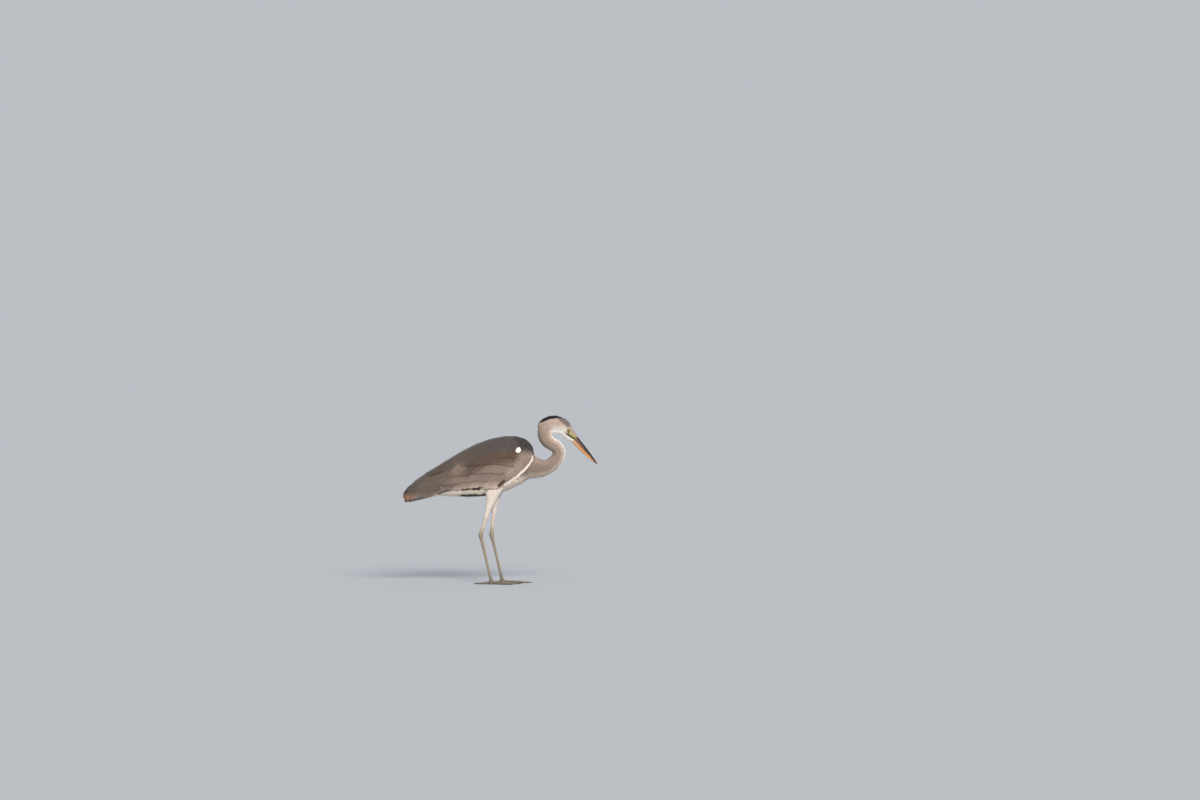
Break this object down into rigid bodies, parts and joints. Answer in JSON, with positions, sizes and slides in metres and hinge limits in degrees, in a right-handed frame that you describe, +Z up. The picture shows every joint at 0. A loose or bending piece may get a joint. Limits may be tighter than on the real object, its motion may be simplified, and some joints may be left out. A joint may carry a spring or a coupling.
{
  "type": "grey heron",
  "caption": "Life-size grey heron standing on both feet, neck drawn into an S and bill pointed down and forward, as a still display model.",
  "frame": {"origin": "on the floor, at the middle of the plan outline, between the bill's tip and the tail's tip", "axes": "+X forward, the way the bill points, +Y to the bird's left, +Z up"},
  "size_m": [0.6343, 0.1484, 0.5485],
  "materials": {
    "back_plumage": "matt",
    "wing_plumage": "matt",
    "flight_feathers": "satin",
    "neck_plumage": "matt",
    "head_plumage": "matt",
    "crest_plumage": "satin",
    "thigh_plumage": "matt",
    "leg_skin": "satin",
    "upper_bill_horn": "semi-gloss",
    "lower_bill_horn": "semi-gloss",
    "claw_horn": "semi-gloss",
    "eyeball": "wet gloss"
  },
  "bodies": {
    "root": {"head": "head_plumage", "eye_left": "eyeball", "eye_right": "eyeball", "crest": "crest_plumage", "bill_upper": "upper_bill_horn", "bill_lower": "lower_bill_horn", "neck_upper": "neck_plumage", "neck_middle": "neck_plumage", "neck_bend": "neck_plumage", "neck_lower": "neck_plumage", "neck_base": "neck_plumage", "trunk": "back_plumage", "wing_left": "wing_plumage", "wing_right": "wing_plumage", "wing_tip_left": "flight_feathers", "wing_tip_right": "flight_feathers", "tail": "flight_feathers", "thigh_left": "thigh_plumage", "shin_left": "leg_skin", "tarsus_left": "leg_skin", "foot_left": "leg_skin", "toe_inner_left": "leg_skin", "toe_middle_left": "leg_skin", "toe_outer_left": "leg_skin", "toe_hind_left": "leg_skin", "claw_inner_left": "claw_horn", "claw_middle_left": "claw_horn", "claw_outer_left": "claw_horn", "claw_hind_left": "claw_horn", "thigh_right": "thigh_plumage", "shin_right": "leg_skin", "tarsus_right": "leg_skin", "foot_right": "leg_skin", "toe_inner_right": "leg_skin", "toe_middle_right": "leg_skin", "toe_outer_right": "leg_skin", "toe_hind_right": "leg_skin", "claw_inner_right": "claw_horn", "claw_middle_right": "claw_horn", "claw_outer_right": "claw_horn", "claw_hind_right": "claw_horn"}
  },
  "joints": []
}
